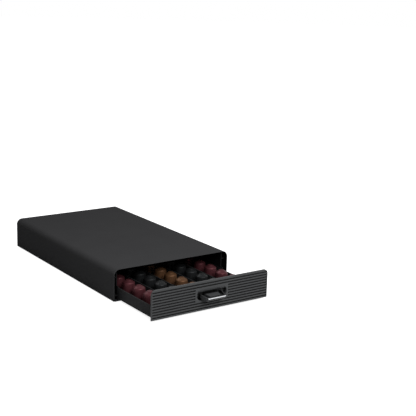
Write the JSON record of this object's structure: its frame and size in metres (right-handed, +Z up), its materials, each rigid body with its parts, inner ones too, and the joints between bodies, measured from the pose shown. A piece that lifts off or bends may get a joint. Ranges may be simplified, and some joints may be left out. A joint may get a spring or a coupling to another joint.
{
  "type": "coffee capsule drawer",
  "caption": "Low black drawer for coffee capsules: a flat-topped sleeve case, a laned tray that slides out on side guides, and a ribbed front with a recessed pull and a bright edge strip.",
  "frame": {"origin": "middle of the footprint of the whole object, with the drawer standing open as stored, on the surface the feet stand on", "axes": "+X to the right seen from the front, +Y from the drawer front to the case's back wall, +Z up"},
  "size_m": [0.254, 0.5752, 0.0622],
  "materials": {
    "case_plastic": "fine matt moulded",
    "base_plastic": "matt moulded",
    "rail_plastic": "smooth moulded",
    "tray_plastic": "satin moulded",
    "front_plastic": "satin moulded",
    "foot_rubber": "matt",
    "screw_steel": "zinc plated",
    "trim_chrome": "bright plated",
    "capsule_burgundy": "satin anodised",
    "capsule_charcoal": "satin anodised",
    "capsule_bronze": "satin anodised",
    "foil_aluminium": "bright foil"
  },
  "bodies": {
    "case": {"case_shell": "case_plastic", "base_plate": "base_plastic", "guide_rail_left": "rail_plastic", "guide_rail_right": "rail_plastic", "case_screws": "screw_steel", "rubber_feet": "foot_rubber"},
    "drawer": {"drawer_tray": "tray_plastic", "lane_divider_1": "tray_plastic", "lane_divider_2": "tray_plastic", "lane_divider_3": "tray_plastic", "lane_divider_4": "tray_plastic", "drawer_front": "front_plastic", "front_screws": "screw_steel", "pull_grip": "front_plastic", "pull_trim": "trim_chrome", "capsules_lane_1": "capsule_burgundy", "capsules_lane_2": "capsule_charcoal", "capsules_lane_3": "capsule_bronze", "capsules_lane_4": "capsule_charcoal", "capsules_lane_5": "capsule_burgundy", "capsule_foils": "foil_aluminium"}
  },
  "joints": [
    {"name": "drawer_slide", "type": "slide", "parent": "case", "child": "drawer", "axis": [0, -1, 0], "range_m": [-0.1248, 0.17]}
  ]
}
